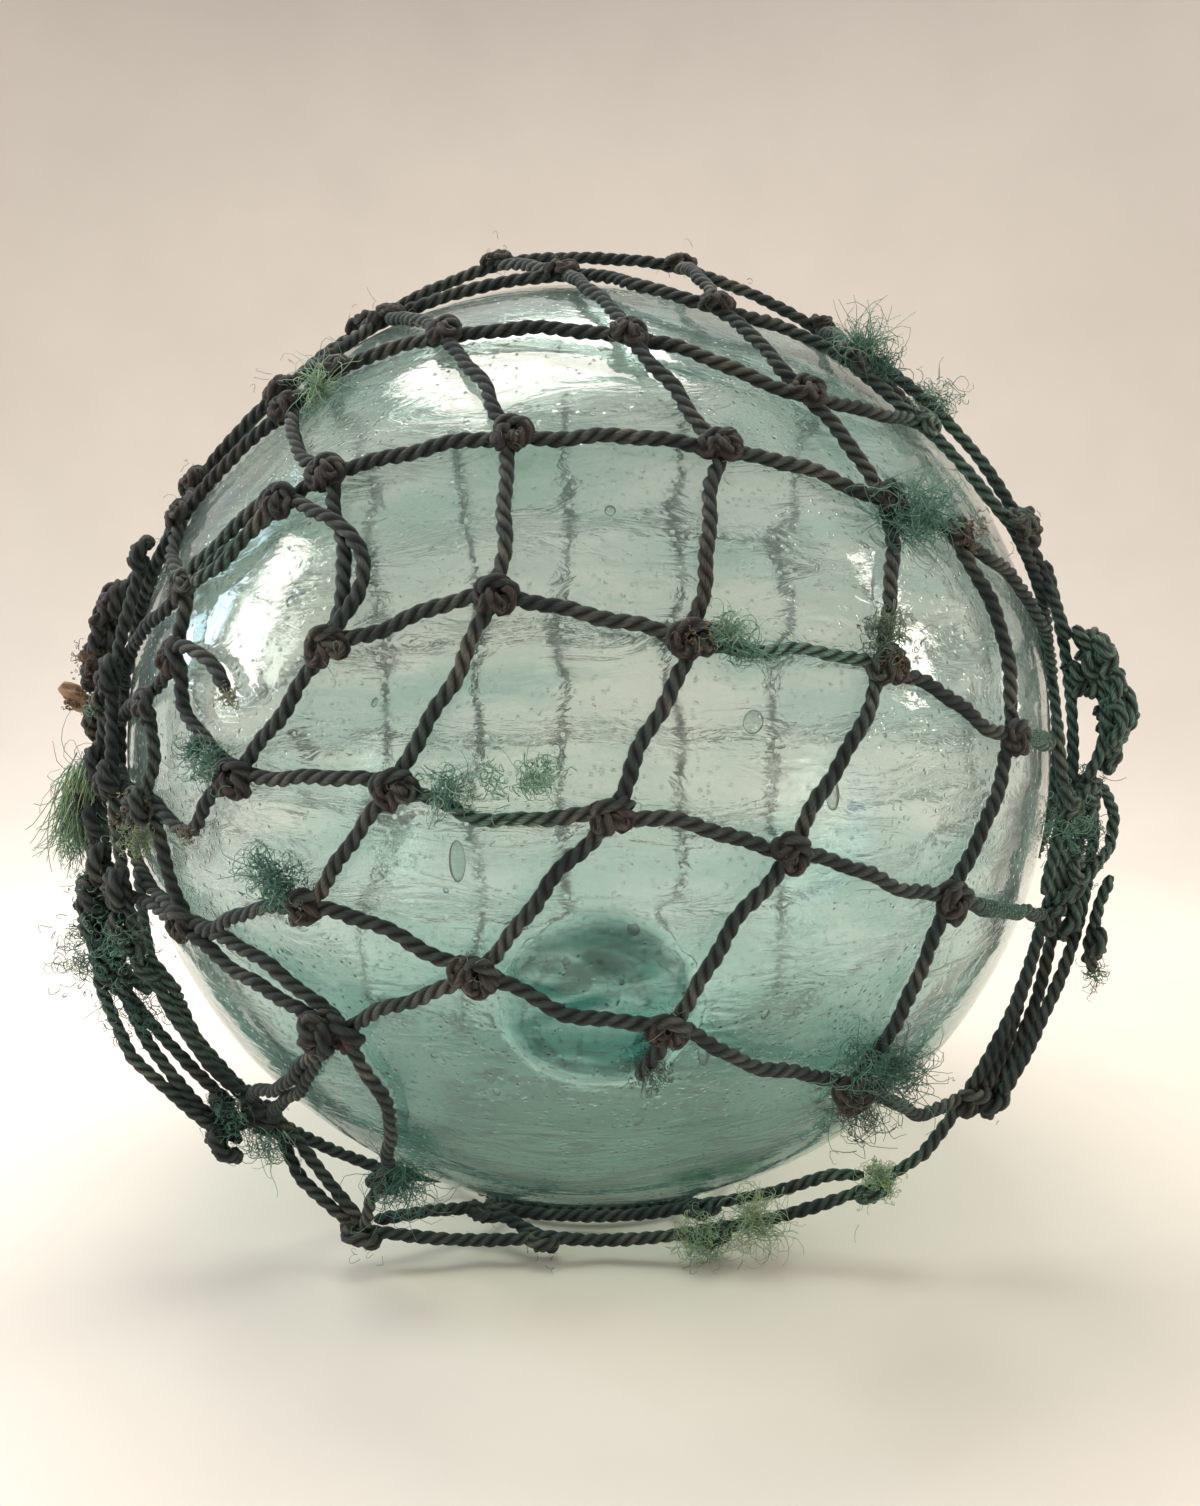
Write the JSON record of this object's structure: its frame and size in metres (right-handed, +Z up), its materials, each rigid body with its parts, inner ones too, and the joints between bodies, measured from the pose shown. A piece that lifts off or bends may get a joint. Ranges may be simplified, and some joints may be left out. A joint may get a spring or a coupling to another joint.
{
  "type": "glass fishing float in rope net",
  "caption": "Blown glass fishing float with a seal button, held in a worn knotted net of tarred rope with laced edges, frayed tufts and loose ends, resting on a small flat spot.",
  "frame": {"origin": "middle of the flat spot on the ball's underside, which it stands on", "axes": "+Z up, +X right and -Y towards the front, which is the side with the seal button"},
  "size_m": [0.3327, 0.3198, 0.3165],
  "materials": {
    "glass": "clear pale sea-green blown glass, wavy and pitted",
    "tarred_rope": "matt weathered three-strand rope, green-black, with brown knots",
    "green_fibre": "frayed pale green fibre",
    "tan_fibre": "matted tan fibre"
  },
  "bodies": {
    "root": {"glass_ball": "glass", "net_line_z": "tarred_rope", "net_line_a": "tarred_rope", "net_line_b": "tarred_rope", "net_line_c": "tarred_rope", "net_line_d": "tarred_rope", "net_line_e": "tarred_rope", "net_line_f": "tarred_rope", "net_line_g": "tarred_rope", "net_line_p": "tarred_rope", "net_line_h": "tarred_rope", "net_line_i": "tarred_rope", "net_line_j": "tarred_rope", "net_line_k": "tarred_rope", "net_line_l": "tarred_rope", "net_line_m": "tarred_rope", "net_line_n": "tarred_rope", "net_line_o": "tarred_rope", "left_gather_ring": "tarred_rope", "right_gather_ring": "tarred_rope", "base_ring": "tarred_rope", "left_lacing_inner": "tarred_rope", "left_lacing_outer": "tarred_rope", "right_lacing": "tarred_rope", "right_tail": "tarred_rope", "right_loop": "tarred_rope", "right_stub": "tarred_rope", "combed_tuft": "green_fibre", "tan_fibre_lump_1": "tan_fibre", "tan_fibre_lump_2": "tan_fibre"}
  },
  "joints": []
}
